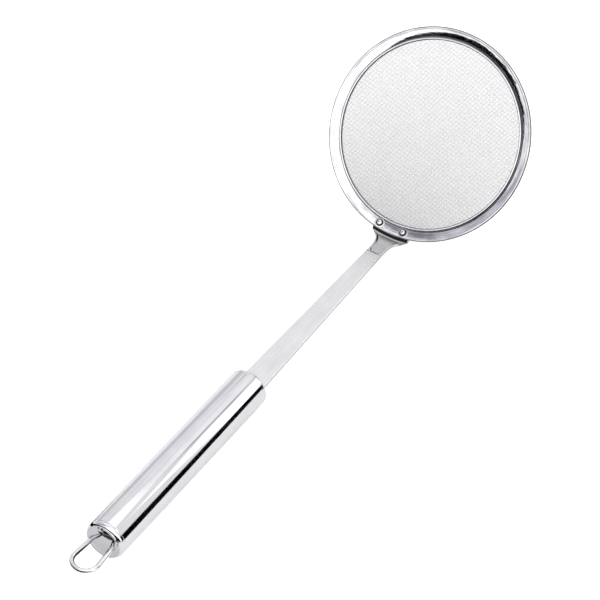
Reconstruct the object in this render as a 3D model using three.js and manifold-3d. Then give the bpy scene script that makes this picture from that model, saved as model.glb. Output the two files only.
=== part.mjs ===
// Long-handled tea strainer of stainless steel: a shallow round head with woven mesh, riveted to a
// flat strap that widens into a round hollow handle with a wire hanging loop at its end.
//
// Units are millimetres and +Z is up. The tool lies on a table as it would after use: on the
// underside of its neck and on the front edge of its round handle, with the head raised.
//
// Three nested frames are used.
//   head frame: origin at the centre of the rim circle, +Z out of the open side, +X to the neck
//   tool frame: +X along the handle's axis away from the head, +Z out of the strap's upper face
//   part frame: origin on the table, under the middle of the whole tool

import * as THREE from 'three';
import * as BufferGeometryUtils from 'three/addons/utils/BufferGeometryUtils.js';
import Module from 'manifold-3d';

const wasm = await Module();
wasm.setup();

// ---- Driving dimensions ------------------------------------------------------------------------

const GAP = 0.3; // clearance between pieces that touch on the real tool

const RIM_RADIUS = 58; // outermost radius of the head
const BEAD_RADIUS = 0.85; // rolled bead at the rim's outer edge
const BAND_INNER_RADIUS = 52.4; // where the sloped band starts
const BAND_SLOPE = THREE.MathUtils.degToRad(20);
const SEAT_INNER_RADIUS = 50.8; // inner edge of the flat seat under the mesh
const SEAT_TOP = -2.4; // height of the seat, below the rim's crest at zero
const MESH_THICKNESS = 0.25;
const CLAMP_HEIGHT = 0.8; // the ring that presses the mesh on its seat

const HANDLE_RISE = THREE.MathUtils.degToRad(50.8); // handle's angle above the head's plane
const RIM_ABOVE_AXIS = 3.34; // the rim's height over the handle's axis, at the neck

const STRAP_THICKNESS = 1.8;
const STRAP_HALF_WIDTH = 4.25; // at the neck
const STRAP_TAPER = 0.0212; // growth of the half width per millimetre towards the handle
const STRAP_END = 154; // tip of the tang inside the handle
const NECK_PLATE_HALF_WIDTH = 11; // the wide end that is riveted under the band
const NECK_PLATE_INNER_RADIUS = 53.2; // radius of its edge, in the head frame
const NECK_PLATE_SLOPE = THREE.MathUtils.degToRad(16.7);
const NECK_PLATE_CORNER = 1.6; // rounding of its two free corners
const NECK_FLARE_START = 1.2; // where the flare starts to narrow, past the plate's bend
const NECK_FLARE_LENGTH = 3.1; // how fast the flare dies out along the strap
const NECK_DROP_START = 57.15; // radius in the head frame where the plate bends down
const NECK_DROP_SLOPE = THREE.MathUtils.degToRad(-76); // the steep step just outside the rim
const TROUGH_DEPTH = 1.15; // the pressed trough that stiffens the neck, below the strap
const TROUGH_FLAT_END = 6.5; // where its floor starts to rise
const TROUGH_END = 14.3; // foot of its round end
const TROUGH_END_DEPTH = 0.35;
const TROUGH_MARGIN = 1.2; // raised border left on each side of it
const TROUGH_FLANK = 0.6; // width of the sloped flank between the border and the floor

const RIVET_RADIUS = 54.9; // distance of the rivets from the head's centre
const RIVET_OFFSET = 7.3; // sideways from the middle plane
const RIVET_SHANK = 1.3;
const RIVET_HEAD = 2.8;
const RIVET_HEAD_HEIGHT = 1.5;
const RIVET_TAIL = 1.8;
const RIVET_TAIL_HEIGHT = 0.8;
const RIVET_GRIP = 4; // length of the shank under the band's upper face

const TUBE_RADIUS = 11;
const TUBE_WALL = 0.5;
const HANDLE_FRONT = 137; // distances along the handle's axis
const TUBE_FRONT = 140;
const TUBE_REAR = 265.2;
const CAP_SHOULDER = 2; // rounding of the front cap's edge
const CAP_WALL = 0.7;
const CAP_SKIRT = 5; // length of each cap's skirt inside the tube

const REAR_APEX = 270.4; // far end of the rear cap, on the axis
const REAR_DOME = 24; // radius of its gently domed end
const REAR_SHOULDER = 2.6; // rounding between the dome and the tube
const REAR_FACE_THICKNESS = 1.6; // thickness of the domed end on the axis

const LOOP_WIRE = 1.3; // radius of the hanging loop's wire
const LOOP_LEG_OFFSET = 5.95; // legs at the domed end
const LOOP_BOW_RADIUS = 6.95; // radius of the bow, and the legs' offset beside it
const LOOP_APEX = 290.3; // centre line of the wire at its far end
const LOOP_ROOT = 264; // end of the legs inside the cap

const ROUND_SEGMENTS = 88; // around the head
const TUBE_SEGMENTS = 40;
const SMALL_SEGMENTS = 20; // around rivets and holes

// ---- Materials ---------------------------------------------------------------------------------

const steel = (color, roughness) =>
  new THREE.MeshStandardMaterial({ color, roughness, metalness: 1 });

const polishedSteel = steel(0xd9dadd, 0.12);
const satinSteel = steel(0xcfd0d3, 0.3);
const brushedSteel = steel(0xc4c5c9, 0.38);
const wovenSteel = steel(0xd2d3d6, 0.35);

// ---- Shared helpers ----------------------------------------------------------------------------

// Points of a circular arc in a profile plane, angles in radians.
function arc(centreX, centreY, radius, from, to, steps) {
  return Array.from({ length: steps + 1 }, (_, i) => {
    const angle = from + ((to - from) * i) / steps;
    return new THREE.Vector2(
      centreX + radius * Math.cos(angle),
      centreY + radius * Math.sin(angle),
    );
  });
}

function signedVolume(geometry) {
  const { array } = geometry.getAttribute('position');
  const corner = (i) => new THREE.Vector3().fromArray(array, 3 * geometry.index.getX(i));
  let volume = 0;
  for (let i = 0; i < geometry.index.count; i += 3) {
    volume += corner(i).dot(corner(i + 1).cross(corner(i + 2))) / 6;
  }
  return volume;
}

// Merges shared vertices and turns the faces outwards.
function closedSolid(geometry) {
  geometry.deleteAttribute('normal');
  geometry.deleteAttribute('uv');
  const merged = BufferGeometryUtils.mergeVertices(geometry, 1e-4);
  if (signedVolume(merged) < 0) {
    const indices = Array.from(merged.index.array).reverse();
    merged.setIndex(indices);
  }
  return merged;
}

// A solid of revolution about +Z; the profile's x is the radius and its y the height.
function revolve(profile, segments) {
  const geometry = new THREE.LatheGeometry(profile, segments);
  geometry.rotateX(Math.PI / 2);
  return closedSolid(geometry);
}

function closeProfile(points) {
  return [...points, points[0].clone()];
}

function toManifold(geometry) {
  return new wasm.Manifold(
    new wasm.Mesh({
      numProp: 3,
      vertProperties: new Float32Array(geometry.getAttribute('position').array),
      triVerts: new Uint32Array(geometry.index.array),
    }),
  );
}

// Removes every cutter from a solid.
function cut(geometry, cutters) {
  let solid = toManifold(geometry);
  for (const cutter of cutters) {
    solid = solid.subtract(toManifold(cutter));
  }
  const { vertProperties, triVerts } = solid.getMesh();
  const result = new THREE.BufferGeometry();
  result.setAttribute('position', new THREE.BufferAttribute(vertProperties, 3));
  result.setIndex(new THREE.BufferAttribute(triVerts, 1));
  return result;
}

function piece(name, geometry, material) {
  const mesh = new THREE.Mesh(geometry, material);
  mesh.name = name;
  geometry.computeVertexNormals();
  return mesh;
}

// ---- Head --------------------------------------------------------------------------------------

const beadCentreRadius = RIM_RADIUS - BEAD_RADIUS;
const seatBottom = SEAT_TOP - 0.6;
const bandFoot = SEAT_TOP + 0.4; // height of the band's upper face at its inner edge

// Height of the band's upper face at a radius.
const bandHeight = (radius) => bandFoot + (radius - BAND_INNER_RADIUS) * Math.tan(BAND_SLOPE);

// The rim: a flat seat for the mesh, a band that slopes up from it, and a rolled outer bead.
function rimGeometry() {
  const bead = arc(
    beadCentreRadius,
    -BEAD_RADIUS,
    BEAD_RADIUS,
    THREE.MathUtils.degToRad(150),
    THREE.MathUtils.degToRad(-125),
    9,
  );
  const undersideFoot = BAND_INNER_RADIUS + 0.35;
  const profile = closeProfile([
    new THREE.Vector2(SEAT_INNER_RADIUS, seatBottom),
    new THREE.Vector2(SEAT_INNER_RADIUS, SEAT_TOP),
    new THREE.Vector2(BAND_INNER_RADIUS, SEAT_TOP),
    new THREE.Vector2(BAND_INNER_RADIUS, bandFoot),
    ...bead,
    new THREE.Vector2(undersideFoot, seatBottom),
  ]);
  return revolve(profile, ROUND_SEGMENTS);
}

// The half-round ring that holds the mesh down on the seat.
function clampGeometry() {
  const inner = SEAT_INNER_RADIUS;
  const outer = BAND_INNER_RADIUS - GAP;
  const bottom = SEAT_TOP + 2 * GAP + MESH_THICKNESS;
  const half = (outer - inner) / 2;
  const crown = arc(inner + half, bottom + CLAMP_HEIGHT - half, half, 0, Math.PI, 6);
  const profile = closeProfile([
    new THREE.Vector2(inner, bottom),
    new THREE.Vector2(outer, bottom),
    ...crown,
  ]);
  return revolve(profile, ROUND_SEGMENTS);
}

// The woven mesh as a plain thin disc, held between the seat and the clamping ring.
function meshGeometry() {
  const radius = BAND_INNER_RADIUS - GAP;
  const geometry = new THREE.CylinderGeometry(radius, radius, MESH_THICKNESS, ROUND_SEGMENTS);
  geometry.rotateX(Math.PI / 2);
  geometry.translate(0, 0, SEAT_TOP + GAP + MESH_THICKNESS / 2);
  return closedSolid(geometry);
}

// Frame of one rivet in the head frame: on the band's upper face, +Z square to it.
function rivetFrame(side) {
  const azimuth = Math.asin((side * RIVET_OFFSET) / RIVET_RADIUS);
  const frame = new THREE.Object3D();
  frame.rotation.set(0, -BAND_SLOPE, azimuth, 'ZYX');
  frame.position.set(
    RIVET_RADIUS * Math.cos(azimuth),
    RIVET_RADIUS * Math.sin(azimuth),
    bandHeight(RIVET_RADIUS),
  );
  frame.updateMatrix();
  return frame.matrix;
}

// A cutter for one rivet's hole, through the band and the neck's plate.
function rivetHole(side) {
  const reach = 12;
  const radius = RIVET_SHANK + GAP;
  const hole = new THREE.CylinderGeometry(radius, radius, reach, SMALL_SEGMENTS);
  hole.rotateX(Math.PI / 2);
  hole.applyMatrix4(rivetFrame(side));
  return closedSolid(hole);
}

// A rivet with a domed head on the band and a flatter tail under the neck's plate.
function rivetGeometry(side) {
  const headFoot = GAP;
  const tailTop = -RIVET_GRIP;
  const dome = Array.from({ length: 6 }, (_, i) => {
    const angle = (i / 5) * (Math.PI / 2);
    return new THREE.Vector2(
      RIVET_HEAD * Math.cos(angle),
      headFoot + RIVET_HEAD_HEIGHT * (0.2 + 0.8 * Math.sin(angle)),
    );
  });
  const profile = [
    new THREE.Vector2(0, tailTop - RIVET_TAIL_HEIGHT),
    new THREE.Vector2(RIVET_TAIL * 0.7, tailTop - RIVET_TAIL_HEIGHT),
    new THREE.Vector2(RIVET_TAIL, tailTop - RIVET_TAIL_HEIGHT / 2),
    new THREE.Vector2(RIVET_TAIL, tailTop),
    new THREE.Vector2(RIVET_SHANK, tailTop),
    new THREE.Vector2(RIVET_SHANK, headFoot),
    new THREE.Vector2(RIVET_HEAD, headFoot),
    ...dome.slice(0, -1),
    new THREE.Vector2(0, headFoot + RIVET_HEAD_HEIGHT),
  ];
  const geometry = revolve(profile, SMALL_SEGMENTS);
  geometry.applyMatrix4(rivetFrame(side));
  return geometry;
}

// ---- Neck and strap ----------------------------------------------------------------------------

const outward = new THREE.Vector3(Math.cos(HANDLE_RISE), 0, -Math.sin(HANDLE_RISE));
const headCentre = new THREE.Vector3(0, 0, RIM_ABOVE_AXIS).addScaledVector(outward, -RIM_RADIUS);

// A point of the head's middle plane, in the tool frame.
function fromHead(radius, height) {
  const normal = new THREE.Vector3(Math.sin(HANDLE_RISE), 0, Math.cos(HANDLE_RISE));
  return headCentre.clone().addScaledVector(outward, radius).addScaledVector(normal, height);
}

// Middle line of the neck's plate: parallel to the band's underside, clear of the bead.
const plateDepth = 2 * BEAD_RADIUS + GAP + STRAP_THICKNESS / 2 / Math.cos(NECK_PLATE_SLOPE);
const plateHeight = (radius) =>
  -plateDepth + (radius - beadCentreRadius) * Math.tan(NECK_PLATE_SLOPE);
const plateEdge = fromHead(NECK_PLATE_INNER_RADIUS, plateHeight(NECK_PLATE_INNER_RADIUS));
const plateEnd = fromHead(NECK_DROP_START, plateHeight(NECK_DROP_START));
const dropTop = new THREE.Vector2(plateEnd.x, plateEnd.z);
const dropFoot = new THREE.Vector2(
  dropTop.x - (dropTop.y + TROUGH_DEPTH) / Math.tan(NECK_DROP_SLOPE),
  -TROUGH_DEPTH,
);

// A line through corners with a round bend of the given radius at each inner one. It returns
// a function that gives the height and the slope at any x.
function bentLine(corners, radii) {
  const runs = corners.slice(1).map((corner, i) => corner.clone().sub(corners[i]).angle());
  const slopes = runs.map((angle) => (angle > Math.PI ? angle - 2 * Math.PI : angle));
  const bends = radii.map((radius, i) => {
    const [from, to] = [slopes[i], slopes[i + 1]];
    const side = Math.sign(to - from);
    const setback = radius * Math.tan(Math.abs(to - from) / 2);
    const corner = corners[i + 1];
    const start = corner.x - setback * Math.cos(from);
    const startHeight = corner.y - setback * Math.sin(from);
    return {
      start,
      end: corner.x + setback * Math.cos(to),
      radius: side * radius,
      centreX: start - side * radius * Math.sin(from),
      centreZ: startHeight + side * radius * Math.cos(from),
    };
  });
  return (x) => {
    const bend = bends.find(({ start, end }) => x > start && x < end);
    if (bend) {
      const slope = Math.asin((x - bend.centreX) / bend.radius);
      return { z: bend.centreZ - bend.radius * Math.cos(slope), slope };
    }
    const last = corners.length - 2;
    const before = corners.findIndex((corner) => x < corner.x) - 1;
    const i = before === -2 ? last : Math.max(0, before);
    return { z: corners[i].y + (x - corners[i].x) * Math.tan(slopes[i]), slope: slopes[i] };
  };
}

// The strap's middle line along the floor of the trough: the sloped plate, the step down outside
// the rim, the flat and rising floor, the trough's end, and the handle's axis.
const strapLine = bentLine(
  [
    new THREE.Vector2(plateEdge.x, plateEdge.z),
    dropTop,
    dropFoot,
    new THREE.Vector2(TROUGH_FLAT_END, 0.15 - TROUGH_DEPTH),
    new THREE.Vector2(TROUGH_END, -TROUGH_END_DEPTH),
    new THREE.Vector2(TROUGH_END + 0.7, 0),
    new THREE.Vector2(STRAP_END, 0),
  ],
  [1.2, 2.6, 8, 0.8, 1.2],
);

// Half width of the strap: a rounded plate, a concave flare and a steady taper.
function strapHalfWidth(x) {
  const fromEdge = x - plateEdge.x;
  const flare = NECK_PLATE_HALF_WIDTH - STRAP_HALF_WIDTH;
  const past = Math.max(0, x - dropTop.x - NECK_FLARE_START);
  const width =
    STRAP_HALF_WIDTH + flare * Math.exp(-past / NECK_FLARE_LENGTH) + STRAP_TAPER * Math.max(0, x);
  const corner = Math.max(0, NECK_PLATE_CORNER - fromEdge);
  return width - NECK_PLATE_CORNER + Math.sqrt(NECK_PLATE_CORNER ** 2 - corner ** 2);
}

// Share of the strap's own height at a point: 1 on the borders beside the trough and past its
// round end, 0 on its floor.
function borderShare(x, y) {
  const fromSide = strapHalfWidth(x) - Math.abs(y);
  const tipRadius = strapHalfWidth(TROUGH_END) - TROUGH_MARGIN;
  const intoTip = Math.max(0, x - (TROUGH_END + 0.5 - tipRadius));
  const fromTip = tipRadius - Math.hypot(intoTip, y);
  const nearTip = x > TROUGH_END - tipRadius;
  const inside = Math.min(fromSide - TROUGH_MARGIN, nearTip ? fromTip : Infinity);
  const rise = THREE.MathUtils.smoothstep(x, dropFoot.x, TROUGH_FLAT_END);
  return rise * (1 - THREE.MathUtils.smoothstep(inside, -TROUGH_FLANK / 2, TROUGH_FLANK / 2));
}

// Stations along the strap, close together where its shape changes.
function strapStations() {
  const stretches = [
    [plateEdge.x, dropTop.x - 0.7, 7],
    [dropTop.x - 0.7, dropFoot.x + 2, 13],
    [dropFoot.x + 2, TROUGH_END - 1, 12],
    [TROUGH_END - 1, TROUGH_END + 1.6, 8],
    [TROUGH_END + 1.6, STRAP_END, 6],
  ];
  const stations = stretches.flatMap(([from, to, steps]) =>
    Array.from({ length: steps }, (_, i) => from + ((to - from) * i) / steps),
  );
  return [...stations, STRAP_END];
}

// One point on the strap's upper (+1) or lower (-1) face; across runs from -1 to 1.
function strapPoint(x, across, face) {
  const { z, slope } = strapLine(x);
  const y = across * strapHalfWidth(x);
  const follow = 1 - THREE.MathUtils.smoothstep(x, dropFoot.x, dropFoot.x + 5);
  const sag = follow * (RIM_RADIUS - Math.sqrt(RIM_RADIUS ** 2 - y ** 2));
  const half = (face * STRAP_THICKNESS) / 2;
  const point = new THREE.Vector3(x - Math.sin(slope) * half, y, z + Math.cos(slope) * half);
  point.z -= z * borderShare(x, y);
  return point.addScaledVector(outward, -sag);
}

// The strap: plate, neck, trough, straight part and tang in one bent sheet with two rivet holes.
function strapGeometry(rivetCutters) {
  const columns = [-1, -0.84, -0.76, -0.66, -0.5, -0.25, 0, 0.25, 0.5, 0.66, 0.76, 0.84, 1];
  const stations = strapStations();
  const ringSize = 2 * columns.length;
  const positions = [];
  for (const x of stations) {
    const upper = columns.map((across) => strapPoint(x, across, 1));
    const lower = columns.map((across) => strapPoint(x, across, -1)).reverse();
    for (const point of [...upper, ...lower]) {
      positions.push(...point.toArray());
    }
  }
  const indices = [];
  const quad = (a, b, c, d) => indices.push(a, b, c, a, c, d);
  for (let i = 0; i < stations.length - 1; i += 1) {
    for (let j = 0; j < ringSize; j += 1) {
      const next = (j + 1) % ringSize;
      const row = i * ringSize;
      quad(row + j, row + next, row + ringSize + next, row + ringSize + j);
    }
  }
  const last = (stations.length - 1) * ringSize;
  for (let j = 0; j < columns.length - 1; j += 1) {
    const mirror = ringSize - 1 - j;
    quad(j, mirror, mirror - 1, j + 1);
    quad(last + j, last + j + 1, last + mirror - 1, last + mirror);
  }
  const geometry = new THREE.BufferGeometry();
  geometry.setAttribute('position', new THREE.Float32BufferAttribute(positions, 3));
  geometry.setIndex(indices);
  return cut(closedSolid(geometry), rivetCutters);
}

// ---- Handle ------------------------------------------------------------------------------------

// Turns a solid of revolution so that its axis is the handle's axis.
function alongHandle(geometry) {
  geometry.rotateY(Math.PI / 2);
  return geometry;
}

function tubeGeometry() {
  const inner = TUBE_RADIUS - TUBE_WALL;
  const profile = closeProfile([
    new THREE.Vector2(TUBE_RADIUS, TUBE_FRONT),
    new THREE.Vector2(TUBE_RADIUS, TUBE_REAR),
    new THREE.Vector2(inner, TUBE_REAR),
    new THREE.Vector2(inner, TUBE_FRONT),
  ]);
  return alongHandle(revolve(profile, TUBE_SEGMENTS));
}

const skirtRadius = TUBE_RADIUS - TUBE_WALL - GAP;

// The front cap: a round-shouldered cup whose skirt is pushed into the tube, with the strap's slot.
function frontCapGeometry() {
  const shoulder = arc(
    TUBE_RADIUS - CAP_SHOULDER,
    HANDLE_FRONT + CAP_SHOULDER,
    CAP_SHOULDER,
    -Math.PI / 2,
    0,
    6,
  );
  const lip = TUBE_FRONT - GAP;
  const profile = [
    new THREE.Vector2(0, HANDLE_FRONT),
    ...shoulder,
    new THREE.Vector2(TUBE_RADIUS, lip),
    new THREE.Vector2(skirtRadius, lip),
    new THREE.Vector2(skirtRadius, TUBE_FRONT + CAP_SKIRT),
    new THREE.Vector2(skirtRadius - CAP_WALL, TUBE_FRONT + CAP_SKIRT),
    new THREE.Vector2(skirtRadius - CAP_WALL, HANDLE_FRONT + CAP_SHOULDER),
    new THREE.Vector2(skirtRadius - CAP_SHOULDER, HANDLE_FRONT + CAP_WALL),
    new THREE.Vector2(0, HANDLE_FRONT + CAP_WALL),
  ];
  const slot = new THREE.BoxGeometry(
    8 * CAP_WALL,
    2 * (strapHalfWidth(HANDLE_FRONT + CAP_WALL) + GAP),
    STRAP_THICKNESS + 2 * GAP,
  );
  slot.translate(HANDLE_FRONT, 0, 0);
  return cut(alongHandle(revolve(profile, TUBE_SEGMENTS)), [closedSolid(slot)]);
}

const domeCentre = REAR_APEX - REAR_DOME;
const shoulderRadius = TUBE_RADIUS - REAR_SHOULDER;
// Where the rear cap's dome meets its rounded shoulder, as an angle at the dome's centre.
const domeEdgeAngle = Math.asin(shoulderRadius / (REAR_DOME - REAR_SHOULDER));
const shoulderCentre = domeCentre + (REAR_DOME - REAR_SHOULDER) * Math.cos(domeEdgeAngle);

// Distance along the axis of the domed end at a distance from the axis.
const domeAt = (radius) => domeCentre + Math.sqrt(REAR_DOME ** 2 - radius ** 2);

// The rear cap: a rounded shoulder and a gently domed end, with two holes for the loop's legs.
function rearCapGeometry() {
  const inner = skirtRadius - CAP_WALL;
  const face = REAR_APEX - REAR_FACE_THICKNESS;
  const dome = arc(0, domeCentre, REAR_DOME, Math.PI / 2 - domeEdgeAngle, Math.PI / 2, 5);
  const profile = [
    new THREE.Vector2(0, face),
    new THREE.Vector2(inner, face),
    new THREE.Vector2(inner, TUBE_REAR - CAP_SKIRT),
    new THREE.Vector2(skirtRadius, TUBE_REAR - CAP_SKIRT),
    new THREE.Vector2(skirtRadius, TUBE_REAR + GAP),
    new THREE.Vector2(TUBE_RADIUS, TUBE_REAR + GAP),
    ...arc(shoulderRadius, shoulderCentre, REAR_SHOULDER, 0, Math.PI / 2 - domeEdgeAngle, 6),
    ...dome.slice(1, -1),
    new THREE.Vector2(0, REAR_APEX),
  ];
  const holes = [-1, 1].map((side) => {
    const radius = LOOP_WIRE + GAP;
    const reach = 5 * REAR_FACE_THICKNESS;
    const hole = new THREE.CylinderGeometry(radius, radius, reach, SMALL_SEGMENTS);
    hole.rotateZ(Math.PI / 2);
    hole.translate(domeAt(LOOP_LEG_OFFSET), side * LOOP_LEG_OFFSET, 0);
    return closedSolid(hole);
  });
  return cut(alongHandle(revolve(profile, TUBE_SEGMENTS)), holes);
}

// Centre line of the hanging loop: two legs that spread a little, joined by a half circle.
class LoopLine extends THREE.Curve {
  getPoint(t, target = new THREE.Vector3()) {
    const bowCentre = LOOP_APEX - LOOP_BOW_RADIUS;
    const leg = bowCentre - LOOP_ROOT;
    const bow = Math.PI * LOOP_BOW_RADIUS;
    const along = t * (2 * leg + bow);
    if (along > leg && along < leg + bow) {
      const angle = (along - leg) / LOOP_BOW_RADIUS;
      const x = bowCentre + LOOP_BOW_RADIUS * Math.sin(angle);
      return target.set(x, LOOP_BOW_RADIUS * Math.cos(angle), 0);
    }
    const side = along <= leg ? 1 : -1;
    const x = LOOP_ROOT + Math.min(along, 2 * leg + bow - along);
    const spread = Math.max(0, x - REAR_APEX) / (bowCentre - REAR_APEX);
    const y = LOOP_LEG_OFFSET + (LOOP_BOW_RADIUS - LOOP_LEG_OFFSET) * spread;
    return target.set(x, side * y, 0);
  }
}

function loopGeometry() {
  const section = new THREE.Shape();
  section.absarc(0, 0, LOOP_WIRE, 0, 2 * Math.PI);
  const geometry = new THREE.ExtrudeGeometry(section, {
    extrudePath: new LoopLine(),
    steps: 44,
    curveSegments: 5,
    bevelEnabled: false,
  });
  return closedSolid(geometry);
}

// ---- Assembly ----------------------------------------------------------------------------------

const head = new THREE.Group();
head.position.copy(headCentre);
head.rotation.y = HANDLE_RISE;
head.updateMatrix();

const rivetSides = { rivet_left: -1, rivet_right: 1 };
const holesInHead = Object.values(rivetSides).map(rivetHole);
const holesInTool = holesInHead.map((hole) => hole.clone().applyMatrix4(head.matrix));

head.add(
  piece('rim_ring', cut(rimGeometry(), holesInHead), satinSteel),
  piece('mesh_clamp_ring', clampGeometry(), polishedSteel),
  piece('mesh_disc', meshGeometry(), wovenSteel),
);
for (const [name, side] of Object.entries(rivetSides)) {
  head.add(piece(name, rivetGeometry(side), polishedSteel));
}

const tool = new THREE.Group();
tool.add(
  head,
  piece('neck_strap', strapGeometry(holesInTool), brushedSteel),
  piece('front_cap', frontCapGeometry(), polishedSteel),
  piece('handle_tube', tubeGeometry(), polishedSteel),
  piece('rear_cap', rearCapGeometry(), polishedSteel),
  piece('hanging_loop', loopGeometry(), polishedSteel),
);

// Laid on the table: the neck's underside and the front edge of the handle touch it.
const contactRun = HANDLE_FRONT + CAP_SHOULDER - (dropFoot.x + 1);
const contactDrop = TUBE_RADIUS - STRAP_THICKNESS / 2 - TROUGH_DEPTH;
tool.rotation.y = -Math.atan2(contactDrop, contactRun);

const group = new THREE.Group();
group.add(tool);
group.updateMatrixWorld(true);
const box = new THREE.Box3().setFromObject(group, true);
tool.position.set(-(box.min.x + box.max.x) / 2, -(box.min.y + box.max.y) / 2, -box.min.z);

export default group;
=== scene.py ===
"""A long-handled tea strainer of stainless steel on a plain pale floor.

Every CAD node is shown by a finer piece with the same dimensions. The named dimensions are in
millimetres, and the scene is in metres. Three nested frames are used:
  head frame: origin at the centre of the rim circle, +Z out of the open side, +X to the neck
  tool frame: +X along the handle's axis away from the head, +Z out of the strap's upper face
  part frame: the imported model's own frame, on the table
"""

import math

import bmesh
import bpy
import numpy as np
from mathutils import Matrix, Quaternion, Vector


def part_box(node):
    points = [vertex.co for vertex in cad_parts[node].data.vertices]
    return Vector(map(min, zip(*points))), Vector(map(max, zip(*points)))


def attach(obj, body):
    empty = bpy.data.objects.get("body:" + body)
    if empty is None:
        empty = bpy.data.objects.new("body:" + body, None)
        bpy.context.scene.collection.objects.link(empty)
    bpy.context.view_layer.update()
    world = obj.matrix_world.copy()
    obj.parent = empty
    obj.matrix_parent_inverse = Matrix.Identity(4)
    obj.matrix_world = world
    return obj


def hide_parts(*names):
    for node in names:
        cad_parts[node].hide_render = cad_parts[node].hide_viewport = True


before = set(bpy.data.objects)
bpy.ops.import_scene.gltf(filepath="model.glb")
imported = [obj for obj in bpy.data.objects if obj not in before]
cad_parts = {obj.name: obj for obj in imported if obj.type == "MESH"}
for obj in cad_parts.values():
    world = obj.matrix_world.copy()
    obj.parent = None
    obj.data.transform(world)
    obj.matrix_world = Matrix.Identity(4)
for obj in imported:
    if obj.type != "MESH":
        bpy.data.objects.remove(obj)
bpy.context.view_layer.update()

# ---- Camera and studio -------------------------------------------------------------------------

CAMERA_AZIMUTH = math.radians(31.99)  # from +X towards +Y
CAMERA_ELEVATION = math.radians(46.348)
CAMERA_ROLL = math.radians(0.527)
CAMERA_DISTANCE = 1.7685
CAMERA_TARGET = Vector((-0.02679, -0.00623, 0.0200))
CAMERA_LENS = 203.3  # for a sensor 36 mm wide

FLOOR_SIZE = 12.0
FLOOR_COLOUR = (0.9, 0.9, 0.9)
FLOOR_GLOW = 0.45
FLOOR_LIFT = 0.0004  # of the dark cards over the floor
DOME_RADIANCE = 1.05
PANEL_SOFTNESS = 2.5  # degrees

# ---- Dimensions of the tool, in millimetres ----------------------------------------------------

MM = 0.001
GAP = 0.3  # clearance between the neck's plate and the rim's bead

RIM_RADIUS = 58.0
BEAD_RADIUS = 0.85
BAND_INNER_RADIUS = 52.4
BAND_SLOPE = math.radians(20)
BAND_CROWN = 0.11  # how far the band's middle stands over a straight slope
SEAT_INNER_RADIUS = 50.8
SEAT_TOP = -2.4
SEAT_THICKNESS = 0.6
MESH_HEIGHT = -1.975  # middle of the woven mesh
CLAMP_HEIGHT = 0.8
CLAMP_LIFT = 0.3  # the clamp's foot over the middle of the mesh
CLAMP_ROOM = 0.1  # between the clamp and the band

HANDLE_RISE = math.radians(50.8)
RIM_ABOVE_AXIS = 3.34

STRAP_THICKNESS = 1.8
STRAP_EDGE = 0.6  # rounding of its long edges
STRAP_HALF_WIDTH = 4.25
STRAP_TAPER = 0.0212
STRAP_END = 154.0
NECK_PLATE_HALF_WIDTH = 11.0
NECK_PLATE_INNER_RADIUS = 53.2
NECK_PLATE_SLOPE = math.radians(16.7)
NECK_PLATE_CORNER = 1.6
NECK_FLARE_START = 1.2
NECK_FLARE_LENGTH = 3.1
NECK_DROP_START = 57.15
NECK_DROP_SLOPE = math.radians(-76)
TROUGH_DEPTH = 1.15
TROUGH_FLAT_END = 6.5
TROUGH_FLOOR_RISE = 0.15  # how far its floor rises up to there
TROUGH_END = 14.3
TROUGH_END_DEPTH = 0.35
TROUGH_END_RUN = 0.7  # length of the last rise to the strap's own height
TROUGH_MARGIN = 1.2
TROUGH_FLANK = 0.6

RIVET_RADIUS = 54.9
RIVET_OFFSET = 7.3
RIVET_SHANK = 1.3
RIVET_HEAD = 2.8
RIVET_BOSS = 1.8  # raised middle of the head
RIVET_HEAD_HEIGHT = 1.5
RIVET_TAIL = 1.8
RIVET_TAIL_HEIGHT = 0.8
RIVET_GRIP = 4.0

TUBE_RADIUS = 11.0
TUBE_WALL = 0.5
HANDLE_FRONT = 137.0
TUBE_FRONT = 140.0
TUBE_REAR = 265.2
SEAM = 0.04  # fine gap between the tube and its caps
CAP_SHOULDER = 2.0
CAP_WALL = 0.7
CAP_EDGE = 0.08  # chamfer of each cap at the seam
CAP_SKIRT = 5.0
CAP_SKIRT_ROOM = 0.05
CUT_ROOM = 0.12  # room around the strap and the loop's legs where they enter the caps
REAR_APEX = 270.4
REAR_DOME = 24.0
REAR_SHOULDER = 2.6
REAR_FACE_THICKNESS = 1.6

LOOP_WIRE = 1.3
LOOP_LEG_OFFSET = 5.95
LOOP_BOW_RADIUS = 6.95
LOOP_APEX = 290.3
LOOP_ROOT = 264.0

WEAVE_PITCH = 0.66
WEAVE_WIRE = 0.11  # radius
WEAVE_LEVEL = 0.22  # half length of a wire's level stretch at a crossing, in pitches
WEAVE_RADIUS = 51.9
WEAVE_MARGIN = 0.8  # between the outermost wire and the edge
WEAVE_TURN = math.radians(8)
WEAVE_SAG = 0.5
WEAVE_SIDES = 5
WEAVE_SECTORS = 3  # pieces in each direction

HEAD_SEGMENTS = 288
TUBE_SEGMENTS = 128
SMALL_SEGMENTS = 48

bead_centre_radius = RIM_RADIUS - BEAD_RADIUS
seat_bottom = SEAT_TOP - SEAT_THICKNESS
band_foot = SEAT_TOP + 0.4  # height of the band's upper face at its inner edge


# ---- Line and mesh helpers ---------------------------------------------------------------------

def smoothstep(value, low, high):
    """A smooth share that goes from 0 at low to 1 at high."""
    t = min(1.0, max(0.0, (value - low) / (high - low)))
    return t * t * (3 - 2 * t)


def spaced(start, end, steps):
    """Evenly spaced values from start to end, both included."""
    return [start + (end - start) * i / steps for i in range(steps + 1)]


def arc(centre_x, centre_y, radius, start, end, steps):
    """Points on a circular arc, with its angles in degrees."""
    angles = [math.radians(a) for a in spaced(start, end, steps)]
    return [(centre_x + radius * math.cos(a), centre_y + radius * math.sin(a)) for a in angles]


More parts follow.
